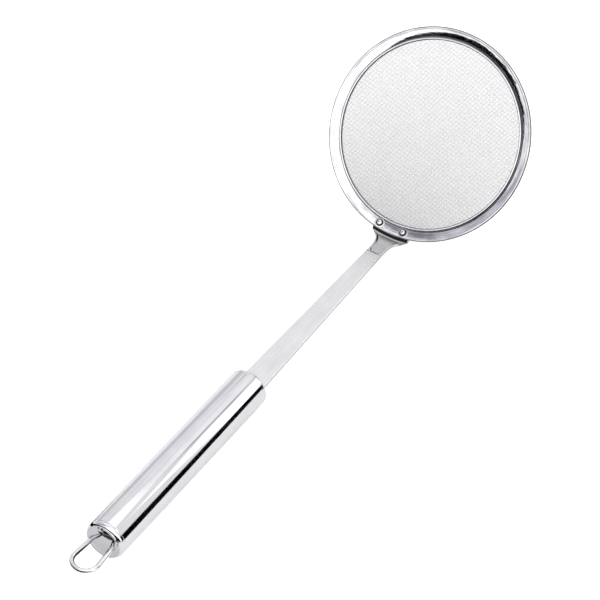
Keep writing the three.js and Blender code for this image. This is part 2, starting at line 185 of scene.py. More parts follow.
def fillet(corners, steps=5, closed=True):
    """An outline through (x, y, radius) corners, each rounded by its radius."""
    outline = []
    count = len(corners)
    for i, (x, y, radius) in enumerate(corners):
        corner = Vector((x, y))
        at_end = not closed and i in (0, count - 1)
        if radius <= 0 or at_end:
            outline.append((x, y))
            continue
        before = Vector(corners[i - 1][:2]) - corner
        after = Vector(corners[(i + 1) % count][:2]) - corner
        half = before.angle(after) / 2
        setback = min(radius / math.tan(half), 0.49 * before.length, 0.49 * after.length)
        bend = setback * math.tan(half)
        start = corner + before.normalized() * setback
        end = corner + after.normalized() * setback
        middle = corner + (before.normalized() + after.normalized()).normalized() * (
            bend / math.sin(half)
        )
        for t in spaced(0, 1, steps):
            spoke = (start - middle).slerp(end - middle, t)
            outline.append(tuple(middle + spoke * bend))
    return outline


def finished_mesh(name, vertices, faces, sharp_angle=40):
    """A smooth-shaded mesh in metres, from points in millimetres, with its faces turned out."""
    mesh = bpy.data.meshes.new(name)
    mesh.from_pydata([Vector(v) * MM for v in vertices], [], faces)
    work = bmesh.new()
    work.from_mesh(mesh)
    bmesh.ops.recalc_face_normals(work, faces=work.faces)
    work.to_mesh(mesh)
    work.free()
    mesh.polygons.foreach_set("use_smooth", [True] * len(mesh.polygons))
    mesh.set_sharp_from_angle(angle=math.radians(sharp_angle))
    return mesh


def place(name, mesh, matrix):
    """Adds a mesh to the scene, with its own frame at the given matrix."""
    piece = bpy.data.objects.new(name, mesh)
    bpy.context.scene.collection.objects.link(piece)
    piece.matrix_world = matrix
    return piece


def lathe(profile, segments, axis="Z"):
    """Vertices and faces of a solid of revolution. The profile holds (radius, height) points; it
    starts and ends on the axis, or else closes on itself."""
    vertices = []
    rings = []
    for radius, height in profile:
        on_axis = radius < 1e-6
        ring = []
        for i in range(1 if on_axis else segments):
            angle = 2 * math.pi * i / segments
            across = (radius * math.cos(angle), radius * math.sin(angle))
            ring.append(len(vertices))
            vertices.append((*across, height) if axis == "Z" else (height, *across))
        rings.append(ring)
    on_axis = len(rings[0]) == 1
    pairs = list(zip(rings, rings[1:] if on_axis else rings[1:] + rings[:1]))
    faces = []
    for low, high in pairs:
        for i in range(segments):
            j = (i + 1) % segments
            below = [low[i % len(low)], low[j % len(low)]]
            above = [high[j % len(high)], high[i % len(high)]]
            faces.append(list(dict.fromkeys(below + above)))
    return vertices, faces


def bridge(rings):
    """Vertices and faces of a tube with closed ends, from equal rings of points."""
    size = len(rings[0])
    last = (len(rings) - 1) * size
    vertices = [point for ring in rings for point in ring]
    faces = []
    for low in range(0, last, size):
        high = low + size
        for i in range(size):
            j = (i + 1) % size
            faces.append((low + i, low + j, high + j, high + i))
    faces.append(tuple(range(size)))
    faces.append(tuple(range(last, last + size)))
    return vertices, faces


def carve(piece, cutter):
    """Cuts one piece's shape out of another, and removes the cutter."""
    modifier = piece.modifiers.new("cut", "BOOLEAN")
    modifier.operation = "DIFFERENCE"
    modifier.solver = "EXACT"
    modifier.object = cutter
    bpy.context.view_layer.update()
    graph = bpy.context.evaluated_depsgraph_get()
    carved = bpy.data.meshes.new_from_object(piece.evaluated_get(graph))
    piece.modifiers.clear()
    piece.data = carved
    bpy.data.objects.remove(cutter)


# ---- The strap's shape -------------------------------------------------------------------------

outward = Vector((math.cos(HANDLE_RISE), 0, -math.sin(HANDLE_RISE)))
head_normal = Vector((math.sin(HANDLE_RISE), 0, math.cos(HANDLE_RISE)))
head_centre = Vector((0, 0, RIM_ABOVE_AXIS)) - outward * RIM_RADIUS


def from_head(radius, height):
    """A point of the head's middle plane, in the tool frame."""
    return head_centre + outward * radius + head_normal * height


def plate_height(radius):
    """Height of the neck's plate under the band, at its middle line, in the head frame."""
    depth = 2 * BEAD_RADIUS + GAP + STRAP_THICKNESS / 2 / math.cos(NECK_PLATE_SLOPE)
    return -depth + (radius - bead_centre_radius) * math.tan(NECK_PLATE_SLOPE)


plate_edge = from_head(NECK_PLATE_INNER_RADIUS, plate_height(NECK_PLATE_INNER_RADIUS))
drop_top = from_head(NECK_DROP_START, plate_height(NECK_DROP_START))
drop_foot_x = drop_top.x - (drop_top.z + TROUGH_DEPTH) / math.tan(NECK_DROP_SLOPE)


def bent_line(corners, radii):
    """A line through corners with a round bend at each inner one: gives height and slope at x."""
    slopes = [math.atan2(b[1] - a[1], b[0] - a[0]) for a, b in zip(corners, corners[1:])]
    bends = []
    for i, radius in enumerate(radii):
        before, after = slopes[i], slopes[i + 1]
        side = math.copysign(radius, after - before)
        setback = radius * math.tan(abs(after - before) / 2)
        corner_x, corner_z = corners[i + 1]
        start_x = corner_x - setback * math.cos(before)
        start_z = corner_z - setback * math.sin(before)
        end_x = corner_x + setback * math.cos(after)
        centre = (start_x - side * math.sin(before), start_z + side * math.cos(before))
        bends.append((start_x, end_x, side, centre))

    def at(x):
        for start_x, end_x, side, centre in bends:
            if start_x < x < end_x:
                slope = math.asin((x - centre[0]) / side)
                return centre[1] - side * math.cos(slope), slope
        i = 0
        while i < len(slopes) - 1 and x >= corners[i + 1][0]:
            i += 1
        return corners[i][1] + (x - corners[i][0]) * math.tan(slopes[i]), slopes[i]

    return at


# The strap's middle line along the floor of the trough, with the radius of each bend.
strap_line = bent_line(
    [
        (plate_edge.x, plate_edge.z),
        (drop_top.x, drop_top.z),
        (drop_foot_x, -TROUGH_DEPTH),
        (TROUGH_FLAT_END, TROUGH_FLOOR_RISE - TROUGH_DEPTH),
        (TROUGH_END, -TROUGH_END_DEPTH),
        (TROUGH_END + TROUGH_END_RUN, 0),
        (STRAP_END, 0),
    ],
    [1.2, 2.6, 8, 0.8, 1.2],
)


def strap_half_width(x):
    """Half the strap's width: a plate with rounded corners, a concave flare, a steady taper."""
    flare = NECK_PLATE_HALF_WIDTH - STRAP_HALF_WIDTH
    past = max(0, x - drop_top.x - NECK_FLARE_START)
    width = STRAP_HALF_WIDTH + flare * math.exp(-past / NECK_FLARE_LENGTH)
    width += STRAP_TAPER * max(0, x)
    corner = max(0, NECK_PLATE_CORNER - (x - plate_edge.x))
    return width - NECK_PLATE_CORNER + math.sqrt(max(0, NECK_PLATE_CORNER**2 - corner**2))


def border_share(x, y):
    """1 on the borders beside the trough and past its round end, 0 on its floor."""
    from_side = strap_half_width(x) - abs(y) - TROUGH_MARGIN
    tip_radius = strap_half_width(TROUGH_END) - TROUGH_MARGIN
    if x > TROUGH_END - tip_radius:
        into_tip = max(0, x - (TROUGH_END + 0.5 - tip_radius))
        from_side = min(from_side, tip_radius - math.hypot(into_tip, y))
    rise = smoothstep(x, drop_foot_x, TROUGH_FLAT_END)
    return rise * (1 - smoothstep(from_side, -TROUGH_FLANK / 2, TROUGH_FLANK / 2))


def strap_point(x, y, offset):
    """A point of the strap: y across it, and offset along its normal from the middle line. The
    neck follows the rim's circle."""
    height, slope = strap_line(x)
    follow = 1 - smoothstep(x, drop_foot_x, drop_foot_x + 5)
    inset = follow * (RIM_RADIUS - math.sqrt(RIM_RADIUS**2 - y**2))
    point = Vector((x - math.sin(slope) * offset, y, height + math.cos(slope) * offset))
    point.z -= height * border_share(x, y)
    return point - outward * inset


def strap_section(x):
    """The strap's outline at a station: two faces joined by rounded edges."""
    half = STRAP_THICKNESS / 2
    flat = strap_half_width(x) - STRAP_EDGE
    face = [flat * t for t in spaced(-1, 1, 40)]
    right = arc(flat, half - STRAP_EDGE, STRAP_EDGE, 90, 0, 4)
    right += arc(flat, STRAP_EDGE - half, STRAP_EDGE, 0, -90, 4)
    left = [(-y, -offset) for y, offset in right]
    outline = [(y, half) for y in face[1:-1]] + right
    outline += [(y, -half) for y in face[-2:0:-1]] + left
    return [strap_point(x, y, offset) for y, offset in outline]


def strap_stations():
    """Places along the strap where it gets a section, closer together where it bends."""
    stretches = [
        (plate_edge.x + 0.02, plate_edge.x + 1.6, 8),
        (plate_edge.x + 1.6, drop_top.x - 0.7, 8),
        (drop_top.x - 0.7, drop_foot_x + 2, 30),
        (drop_foot_x + 2, TROUGH_END - 3, 20),
        (TROUGH_END - 3, TROUGH_END + 2, 34),
        (TROUGH_END + 2, STRAP_END, 40),
    ]
    stations = [x for start, end, steps in stretches for x in spaced(start, end, steps)[:-1]]
    return stations + [STRAP_END]


# ---- Frames ------------------------------------------------------------------------------------

# The tool leans back so that the neck's underside and the handle's front edge touch the table.
contact_run = HANDLE_FRONT + CAP_SHOULDER - (drop_foot_x + 1)
contact_drop = TUBE_RADIUS - STRAP_THICKNESS / 2 - TROUGH_DEPTH
tool_turn = Matrix.Rotation(-math.atan2(contact_drop, contact_run), 4, "Y")
head_in_tool = Matrix.Translation(head_centre * MM) @ Matrix.Rotation(HANDLE_RISE, 4, "Y")

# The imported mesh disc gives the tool's place in the part frame.
disc_low, disc_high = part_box("mesh_disc")
disc_centre = (disc_low + disc_high) / 2
disc_in_tool = head_in_tool @ Vector((0, 0, MESH_HEIGHT * MM))
TOOL = Matrix.Translation(disc_centre - tool_turn @ disc_in_tool) @ tool_turn
HEAD = TOOL @ head_in_tool


def rivet_matrix(side):
    """Frame of one rivet: on the band's upper face, +Z square to it."""
    azimuth = math.asin(side * RIVET_OFFSET / RIVET_RADIUS)
    height = band_foot + (RIVET_RADIUS - BAND_INNER_RADIUS) * math.tan(BAND_SLOPE)
    spot = Vector((RIVET_RADIUS * math.cos(azimuth), RIVET_RADIUS * math.sin(azimuth), height))
    turn = Matrix.Rotation(azimuth, 4, "Z") @ Matrix.Rotation(-BAND_SLOPE, 4, "Y")
    return HEAD @ Matrix.Translation(spot * MM) @ turn


# ---- Pieces of the head ------------------------------------------------------------------------

def make_rim():
    """One sheet in section: the seat for the mesh, the crowned band and the rolled bead."""
    bead = arc(bead_centre_radius, -BEAD_RADIUS, BEAD_RADIUS, 150, -125, 28)
    run = bead[0][0] - BAND_INNER_RADIUS
    rise = bead[0][1] - band_foot
    band = [
        (BAND_INNER_RADIUS + run * t, band_foot + rise * t + 4 * BAND_CROWN * t * (1 - t))
        for t in spaced(0, 1, 24)
    ]
    underside_foot = BAND_INNER_RADIUS + 0.35
    foot = fillet(
        [
            (underside_foot + 1.2, seat_bottom + 0.45, 0),
            (underside_foot, seat_bottom, 0.5),
            (SEAT_INNER_RADIUS, seat_bottom, 0.2),
            (SEAT_INNER_RADIUS, SEAT_TOP, 0.2),
            (BAND_INNER_RADIUS, SEAT_TOP, 0.08),
            (*band[0], 0.25),
            (*band[3], 0),
        ],
        closed=False,
    )
    return finished_mesh("rim", *lathe(foot + band[4:-1] + bead, HEAD_SEGMENTS))


def make_clamp():
    """A half-round ring that holds the mesh down on its seat."""
    inner = SEAT_INNER_RADIUS
    outer = BAND_INNER_RADIUS - CLAMP_ROOM
    bottom = MESH_HEIGHT + CLAMP_LIFT
    half = (outer - inner) / 2
    crown = arc(inner + half, bottom + CLAMP_HEIGHT - half, half, 0, 180, 16)
    return finished_mesh("clamp", *lathe([(inner, bottom), (outer, bottom)] + crown, HEAD_SEGMENTS))


def make_rivet():
    """A flange with a raised, domed boss in its middle, and a flatter tail below."""
    tail_top = -RIVET_GRIP
    tail_edge = 0.3
    flange_foot = 0.02
    flange_edge = 0.2
    boss_foot = 0.3
    boss_side = 0.55
    boss_rise = RIVET_HEAD_HEIGHT - boss_foot - boss_side
    flange = arc(RIVET_HEAD - flange_edge, flange_foot + flange_edge, flange_edge, -90, 90, 8)
    boss = [
        (RIVET_BOSS * math.cos(a), boss_foot + boss_side + boss_rise * math.sin(a))
        for a in (math.radians(d) for d in spaced(0, 84, 14))
    ]
    tail_bottom = tail_top - RIVET_TAIL_HEIGHT
    tail = arc(RIVET_TAIL - tail_edge, tail_bottom + tail_edge, tail_edge, -90, 0, 5)
    shank = [(RIVET_TAIL, tail_top), (RIVET_SHANK, tail_top), (RIVET_SHANK, flange_foot)]
    groove = [(RIVET_BOSS + 0.25, boss_foot), (RIVET_BOSS + 0.05, boss_foot + 0.1)]
    profile = [(0, tail_bottom)] + tail + shank + flange + groove + boss + [(0, RIVET_HEAD_HEIGHT)]
    return finished_mesh("rivet", *lathe(profile, SMALL_SEGMENTS))


def weave_wires(even_side):
    """Centre lines of one direction of the weave: (offset, positions along, heights). The even
    crossings are passed over for an even_side of 1 and under for -1."""
    end_room = 0.2  # between a wire's end and its last crossing, in pitches
    count = int(WEAVE_RADIUS / WEAVE_PITCH)
    wires = []
    for i in range(-count, count + 1):
        offset = (i + 0.5) * WEAVE_PITCH
        if abs(offset) > WEAVE_RADIUS - WEAVE_MARGIN:
            continue
        reach = math.sqrt(WEAVE_RADIUS**2 - offset**2)
        first = math.ceil(-reach / WEAVE_PITCH + end_room)
        last = math.floor(reach / WEAVE_PITCH - 1 - end_room)
        crossings = np.arange(first, last + 1)
        middles = (crossings + 0.5) * WEAVE_PITCH
        sides = np.where((crossings + i) % 2 == 0, 1.0, -1.0) * even_side
        level = np.tile([-WEAVE_LEVEL, WEAVE_LEVEL], len(middles)) * WEAVE_PITCH
        along = np.repeat(middles, 2) + level
        height = np.repeat(sides, 2) * WEAVE_WIRE
        wires.append((offset, np.r_[-reach, along, reach], np.r_[0.0, height, 0.0]))
    return wires


def wires_mesh(name, wires, turn):
    """One mesh of round wires in the head frame, laid along a direction turned about +Z."""
    angles = 2 * np.pi * np.arange(WEAVE_SIDES) / WEAVE_SIDES
    along_axis = np.array([math.cos(turn), math.sin(turn)])
    across_axis = np.array([-math.sin(turn), math.cos(turn)])
    points, quads, caps = [], [], []
    start = 0
    for offset, along, height in wires:
        across = offset + WEAVE_WIRE * np.cos(angles)
        flat = along[:, None, None] * along_axis + across[None, :, None] * across_axis
        lift = height[:, None] + WEAVE_WIRE * np.sin(angles)[None, :]
        from_centre = (flat**2).sum(axis=2) / WEAVE_RADIUS**2
        lift = lift + MESH_HEIGHT - WEAVE_SAG * (1 - from_centre)
        points.append(np.dstack([flat, lift]).reshape(-1, 3))
        rows = len(along)
        side = np.arange(WEAVE_SIDES)
        after = (side + 1) % WEAVE_SIDES
        low = start + WEAVE_SIDES * np.arange(rows - 1)[:, None]
        high = low + WEAVE_SIDES
        quads.append(np.stack([low + side, low + after, high + after, high + side], axis=2))
        caps.append(start + side[::-1])
        caps.append(start + WEAVE_SIDES * (rows - 1) + side)
        start += rows * WEAVE_SIDES
    quad_corners = np.concatenate([q.reshape(-1, 4) for q in quads])
    cap_corners = np.array(caps)
    sizes = np.r_[np.full(len(quad_corners), 4), np.full(len(cap_corners), WEAVE_SIDES)]
    starts = np.r_[0, np.cumsum(sizes)[:-1]]
    mesh = bpy.data.meshes.new(name)
    mesh.vertices.add(start)
    mesh.vertices.foreach_set("co", (np.concatenate(points) * MM).ravel())
    mesh.loops.add(int(sizes.sum()))
    mesh.loops.foreach_set("vertex_index", np.r_[quad_corners.ravel(), cap_corners.ravel()])
    mesh.polygons.add(len(sizes))
    mesh.polygons.foreach_set("loop_start", starts)
    mesh.polygons.foreach_set("use_smooth", [True] * len(sizes))
    mesh.update(calc_edges=True)
    mesh.validate()
    return mesh


def make_weave():
    """The woven mesh: warp and weft wires that pass over and under each other."""
    pieces = []
    for label, even_side, turn in (("warp", 1, 0), ("weft", -1, math.pi / 2)):
        wires = weave_wires(even_side)
        share = len(wires) / WEAVE_SECTORS
        for sector in range(WEAVE_SECTORS):
            name = f"mesh_{label}_{sector + 1}"
            own = wires[round(sector * share) : round((sector + 1) * share)]
            if label == "weft":  # turned a right angle, it counts its offsets the other way
                own = [(-offset, along, height) for offset, along, height in own]
            pieces.append(place(name, wires_mesh(name, own, WEAVE_TURN + turn), HEAD))
    return pieces


# ---- Pieces of the handle ----------------------------------------------------------------------

tube_end = TUBE_REAR + 0.1
skirt_radius = TUBE_RADIUS - TUBE_WALL - CAP_SKIRT_ROOM


def make_strap():
    """One bent sheet from the plate under the rim to the tip inside the handle."""
    sections = [strap_section(x) for x in strap_stations()]
    return finished_mesh("strap", *bridge(sections), sharp_angle=50)


def make_tube():
    """A hollow tube with its four end corners rounded."""
    inner = TUBE_RADIUS - TUBE_WALL
    profile = fillet(
        [
            (TUBE_RADIUS, TUBE_FRONT, 0.12),
            (TUBE_RADIUS, tube_end, 0.25),
            (inner, tube_end, 0.1),
            (inner, TUBE_FRONT, 0.1),
        ]
    )
    return finished_mesh("tube", *lathe(profile, TUBE_SEGMENTS, "X"))


def make_front_cap():
    """A flat end with a rounded shoulder, and a skirt inside the tube."""
    shoulder_start = HANDLE_FRONT + CAP_SHOULDER
    shoulder = arc(TUBE_RADIUS - CAP_SHOULDER, shoulder_start, CAP_SHOULDER, -90, 0, 18)
    lip = TUBE_FRONT - SEAM
    inner = skirt_radius - CAP_WALL
    profile = [(0, HANDLE_FRONT), (4, HANDLE_FRONT)] + shoulder + [
        (TUBE_RADIUS, lip - CAP_EDGE),
        (TUBE_RADIUS - CAP_EDGE, lip),
        (skirt_radius, lip),
        (skirt_radius, TUBE_FRONT + CAP_SKIRT),
        (inner, TUBE_FRONT + CAP_SKIRT),
        (inner, shoulder_start),
        (skirt_radius - CAP_SHOULDER, HANDLE_FRONT + CAP_WALL),
        (0, HANDLE_FRONT + CAP_WALL),
    ]
    return finished_mesh("front_cap", *lathe(profile, TUBE_SEGMENTS, "X"))


def slot_cutter():
    """The strap's slot in the front cap, with a hair of room on each side."""
    half_width = strap_half_width(HANDLE_FRONT) + CUT_ROOM
    half_height = STRAP_THICKNESS / 2 + CUT_ROOM
    corner_signs = ((1, 1), (-1, 1), (-1, -1), (1, -1))
    outline = fillet([(a * half_width, b * half_height, 0.4) for a, b in corner_signs])
    rings = [[(x, y, z) for y, z in outline] for x in (HANDLE_FRONT - 3, HANDLE_FRONT + 2)]
    return finished_mesh("slot", *bridge(rings))


def dome_at(radius):
    """Distance along the axis of the rear cap's domed end."""
    return REAR_APEX - REAR_DOME + math.sqrt(REAR_DOME**2 - radius**2)


def make_rear_cap():
    """A rounded shoulder and a gently domed end, with a skirt inside the tube."""
    shoulder_radius = TUBE_RADIUS - REAR_SHOULDER
    reach = REAR_DOME - REAR_SHOULDER
    edge = math.degrees(math.asin(shoulder_radius / reach))
    shoulder_centre = REAR_APEX - REAR_DOME + reach * math.cos(math.radians(edge))
    shoulder = arc(shoulder_radius, shoulder_centre, REAR_SHOULDER, 0, 90 - edge, 22)
    dome = arc(0, REAR_APEX - REAR_DOME, REAR_DOME, 90 - edge, 89.5, 18)
    face = REAR_APEX - REAR_FACE_THICKNESS
    lip = tube_end + SEAM
    inner = skirt_radius - CAP_WALL
    profile = [
        (0, face),
        (inner, face),
        (inner, TUBE_REAR - CAP_SKIRT),
        (skirt_radius, TUBE_REAR - CAP_SKIRT),
        (skirt_radius, lip),
        (TUBE_RADIUS - CAP_EDGE, lip),
        (TUBE_RADIUS, lip + CAP_EDGE),
    ] + shoulder + dome[1:] + [(0, REAR_APEX)]
    return finished_mesh("rear_cap", *lathe(profile, TUBE_SEGMENTS, "X"))


def hole_cutter(side):
    """The hole for one of the loop's legs in the rear cap's domed end."""
    outline = arc(side * LOOP_LEG_OFFSET, 0, LOOP_WIRE + CUT_ROOM, 0, 360, SMALL_SEGMENTS)[:-1]
    face = dome_at(LOOP_LEG_OFFSET)
    rings = [[(x, y, z) for y, z in outline] for x in (face - 3, face + 3)]
    return finished_mesh("hole", *bridge(rings))


def loop_line():
    """Centre line of the hanging loop: two legs that spread a little, joined by a half circle."""
    bow_centre = LOOP_APEX - LOOP_BOW_RADIUS
    leg = []
    for x in spaced(LOOP_ROOT, bow_centre, 36)[:-1]:
        spread = max(0, x - REAR_APEX) / (bow_centre - REAR_APEX)
        leg.append(Vector((x, LOOP_LEG_OFFSET + (LOOP_BOW_RADIUS - LOOP_LEG_OFFSET) * spread, 0)))
    bow = [
        Vector((bow_centre + LOOP_BOW_RADIUS * math.sin(a), LOOP_BOW_RADIUS * math.cos(a), 0))
        for a in (math.radians(d) for d in spaced(0, 180, 56))
    ]
    back = [Vector((p.x, -p.y, 0)) for p in reversed(leg)]
    return leg + bow + back


def make_loop():
    """Round wire along the loop's centre line."""
    line = loop_line()
    section = arc(0, 0, LOOP_WIRE, 0, 360, 28)[:-1]
    rings = []
    for i, point in enumerate(line):
        ahead = line[min(i + 1, len(line) - 1)] - line[max(i - 1, 0)]
        side = Vector((-ahead.y, ahead.x, 0)).normalized()
        rings.append([point + side * y + Vector((0, 0, z)) for y, z in section])
    return finished_mesh("loop", *bridge(rings))


# ---- Materials ---------------------------------------------------------------------------------

def node(tree, kind, inputs=None, **settings):
    """Adds a shader node, sets its properties and fills or links its inputs."""
    made = tree.nodes.new("ShaderNode" + kind)
    for name, value in settings.items():
        setattr(made, name, value)
    for name, value in (inputs or {}).items():
        if isinstance(value, bpy.types.NodeSocket):
            tree.links.new(value, made.inputs[name])
        else:
            made.inputs[name].default_value = value
    return made


def calculate(tree, operation, *values):
    """The result of one Math operation."""
    return node(tree, "Math", dict(enumerate(values)), operation=operation).outputs[0]


def mix_colours(tree, share, first, second):
    """The first colour where the share is 0, the second where it is 1."""
    inputs = {"Factor": share, "A": first, "B": second}
    return node(tree, "Mix", inputs, data_type="RGBA").outputs["Result"]


def ramp(tree, value, low, high, to_low, to_high):
    """Maps a value smoothly from one range to another."""
    inputs = {
        "Value": value,
        "From Min": low,
        "From Max": high,
        "To Min": to_low,
        "To Max": to_high,
    }
    return node(tree, "MapRange", inputs, interpolation_type="SMOOTHSTEP").outputs[0]


def grain(tree, coordinates, stretch, detail=3.0, roughness=0.55):
    """Noise over millimetre coordinates, finer along the axes with a larger stretch."""
    stretched = node(tree, "VectorMath", {0: coordinates, 1: stretch}, operation="MULTIPLY")
    inputs = {
        "Vector": stretched.outputs[0],
        "Scale": 1.0,
        "Detail": detail,
        "Roughness": roughness,
    }
    return node(tree, "TexNoise", inputs).outputs["Fac"]


def plain_coordinates(tree):
    """Object coordinates in millimetres."""
    place_on_piece = node(tree, "TexCoord").outputs["Object"]
    scaled = node(tree, "VectorMath", {0: place_on_piece, "Scale": 1 / MM}, operation="SCALE")
    return scaled.outputs[0]


def turned_coordinates(tree, axis, radius):
    """Coordinates that run around an axis: (distance from it, length around it, along it)."""
    parts = node(tree, "SeparateXYZ", {0: plain_coordinates(tree)}).outputs
    first, second, along = (parts[i] for i in {"Z": (0, 1, 2), "X": (1, 2, 0)}[axis])
    squares = [calculate(tree, "MULTIPLY", part, part) for part in (first, second)]
    distance = calculate(tree, "SQRT", calculate(tree, "ADD", *squares))
    angle = calculate(tree, "ARCTAN2", second, first)
    around = calculate(tree, "MULTIPLY", angle, radius)
    return node(tree, "CombineXYZ", {0: distance, 1: around, 2: along}).outputs[0]


def blend_values(tree, first, second, share):
    """The first value where the share is 0, the second where it is 1."""
    kept = calculate(tree, "MULTIPLY", first, 1 - share)
    return calculate(tree, "MULTIPLY_ADD", second, share, kept)


def bump(tree, height, depth, **below):
    """Surface relief with a depth in millimetres, on top of any relief below it."""
    inputs = {"Strength": 1.0, "Distance": depth * MM, "Height": height, **below}
    return node(tree, "Bump", inputs).outputs[0]


def surface_normal(tree):
    """The surface's direction in the piece's own frame, as three parts."""
    normal = node(tree, "TexCoord").outputs["Normal"]
    return node(tree, "SeparateXYZ", {0: normal}).outputs


def facing_along(tree, offset):
    """How the surface faces: 1 straight along the offset, -1 straight against it."""
    unit = node(tree, "VectorMath", {0: offset}, operation="NORMALIZE").outputs[0]
    normal = node(tree, "TexCoord").outputs["Normal"]
    product = node(tree, "VectorMath", {0: unit, 1: normal}, operation="DOT_PRODUCT")
    return product.outputs["Value"]


def on_upper_face(tree, share):
    """Keeps a share only where the surface faces up in the piece's own frame."""
    upward = calculate(tree, "GREATER_THAN", surface_normal(tree)[2], 0.0)
    return calculate(tree, "MULTIPLY", share, upward)


def flank(tree, sense, low, high):
    """1 where a piece turned about its own +Z faces straight outwards (sense 1) or inwards
    (sense -1), 0 elsewhere."""
    parts = node(tree, "SeparateXYZ", {0: plain_coordinates(tree)}).outputs
    outwards = node(tree, "CombineXYZ", {0: parts[0], 1: parts[1]}).outputs[0]
    toward = calculate(tree, "MULTIPLY", facing_along(tree, outwards), sense)
    return ramp(tree, toward, low, high, 0.0, 1.0)


def outer_flank(tree):
    """1 on the outside of the rim's bead, 0 elsewhere."""
    return flank(tree, 1, 0.15, 0.6)


def clamp_flanks(tree):
    """1 on both flanks of the clamp ring, 0 on its crown."""
    inner = flank(tree, -1, 0.35, 0.75)
    return calculate(tree, "MAXIMUM", inner, flank(tree, 1, 0.35, 0.7))


def side_faces(tree):
    """1 where a piece faces sideways, along its own Y, 0 elsewhere."""
    across = calculate(tree, "ABSOLUTE", surface_normal(tree)[1])
    return ramp(tree, across, 0.85, 0.98, 0.0, 1.0)


def pressed_neck(tree):
    """1 between the strap's end under the rim and the end of its trough, 0 along the rest."""
    along = node(tree, "SeparateXYZ", {0: plain_coordinates(tree)}).outputs[0]
    return ramp(tree, along, TROUGH_END - 0.5, TROUGH_END + 0.5, 1.0, 0.0)


def neck_step(tree):
    """1 on the upper face of the steep step beside the rim, 0 elsewhere."""
    steep = ramp(tree, surface_normal(tree)[0], 0.5, 0.72, 0.0, 1.0)
    return on_upper_face(tree, steep)


def trough_tip(tree):
    """1 on the flank at the trough's round end, 0 elsewhere."""
    back = calculate(tree, "MULTIPLY", surface_normal(tree)[0], -1.0)
    return on_upper_face(tree, ramp(tree, back, 0.11, 0.2, 0.0, 1.0))


def domed_end(tree):
    """1 on the rear cap's domed end, 0 on its shoulder."""
    return ramp(tree, surface_normal(tree)[0], 0.9, 0.94, 0.0, 1.0)


def wire_inside(tree):
    """1 on the side of the hanging loop's wire that faces into the loop, 0 elsewhere."""
    centre = (LOOP_APEX - LOOP_BOW_RADIUS, 0, 0)
    inputs = {0: plain_coordinates(tree), 1: centre}
    offset = node(tree, "VectorMath", inputs, operation="SUBTRACT").outputs[0]
    return ramp(tree, facing_along(tree, offset), -0.6, -0.35, 1.0, 0.0)


def boss_crease(tree):
    """1 in the groove around a rivet's raised middle, 0 elsewhere."""
    around = turned_coordinates(tree, "Z", RIVET_BOSS)
    distance = node(tree, "SeparateXYZ", {0: around}).outputs[0]
    outside = ramp(tree, distance, RIVET_BOSS - 0.65, RIVET_BOSS - 0.45, 0.0, 1.0)
    inside = ramp(tree, distance, RIVET_BOSS + 0.2, RIVET_BOSS + 0.35, 1.0, 0.0)
    return calculate(tree, "MULTIPLY", outside, inside)


def steel(
    name, coordinates_of, lines, waves, tints, roughness, relief, painted_shade=(), matt=None
):
    """A worked steel surface.

    lines and waves are the stretches of its fine working marks and of its slow unevenness; tints
    are its darker and lighter colours; roughness is a (low, high) pair; relief holds the depths in
    millimetres of the marks and of the unevenness; painted_shade holds (place, grey) pairs of
    painted shade that stands in for shadows and dark reflections; matt holds a place and its
    roughness. A place is a function of the node tree that gives 1 on it and 0 elsewhere.
    """
    material = bpy.data.materials.new(name)
    material.use_nodes = True
    tree = material.node_tree
    tree.nodes.clear()
    coordinates = coordinates_of(tree)
    fine = grain(tree, coordinates, lines, detail=4.0)
    slow = grain(tree, coordinates, waves, detail=2.0)
    smudges = grain(tree, plain_coordinates(tree), (0.09, 0.09, 0.09), detail=4.0)
    streaks = ramp(tree, blend_values(tree, fine, smudges, 0.4), 0.35, 0.65, 0.0, 1.0)
    colour = mix_colours(tree, streaks, *tints)
    # painted shade: each place's colour is mixed towards its grey, standing in for shadows and dark
    # reflections
    for place_on, grey in painted_shade:
        colour = mix_colours(tree, place_on(tree), colour, (grey, grey, 1.03 * grey, 1))
    uneven = blend_values(tree, fine, smudges, 0.35)
    finish = ramp(tree, uneven, 0.3, 0.7, *roughness)
    if matt:
        place_on, dullness = matt
        dulled = calculate(tree, "MULTIPLY", place_on(tree), dullness)
        finish = calculate(tree, "MAXIMUM", finish, dulled)
    marks_depth, waves_depth = relief
    broad = bump(tree, slow, waves_depth)
    marks = bump(tree, fine, marks_depth, Normal=broad)
    inputs = {"Base Color": colour, "Metallic": 1.0, "Roughness": finish, "Normal": marks}
    shader = node(tree, "BsdfPrincipled", inputs)
    node(tree, "OutputMaterial", {"Surface": shader.outputs[0]})
    return material


def turned_rim_steel():
    """Satin steel with marks that run around the rim, and painted shade on the outer flank of its
    bead.
    """
    return steel(
        "turned_rim_steel",
        lambda tree: turned_coordinates(tree, "Z", RIM_RADIUS),
        lines=(1.1, 0.09, 1.1),
        waves=(0.2, 0.09, 0.2),
        tints=((0.50, 0.49, 0.53, 1), (0.88, 0.875, 0.89, 1)),
        roughness=(0.06, 0.13),
        relief=(0.012, 0.12),
        # painted shade: the bead's outer flank is darkened to stand in for the dark reflection it
        # shows
        painted_shade=[(outer_flank, 0.16)],
    )


def clamp_steel():
    """Finely turned steel with painted shade on both flanks."""
    return steel(
        "clamp_steel",
        lambda tree: turned_coordinates(tree, "Z", SEAT_INNER_RADIUS),
        lines=(2.2, 0.16, 2.2),
        waves=(0.2, 0.09, 0.2),
        tints=((0.66, 0.655, 0.68, 1), (0.80, 0.795, 0.81, 1)),
        roughness=(0.1, 0.18),
        relief=(0.004, 0.02),
        # painted shade: both flanks are darkened to stand in for the crevice shadow beside the mesh
        # and the dark reflection in the band
        painted_shade=[(clamp_flanks, 0.06)],
    )


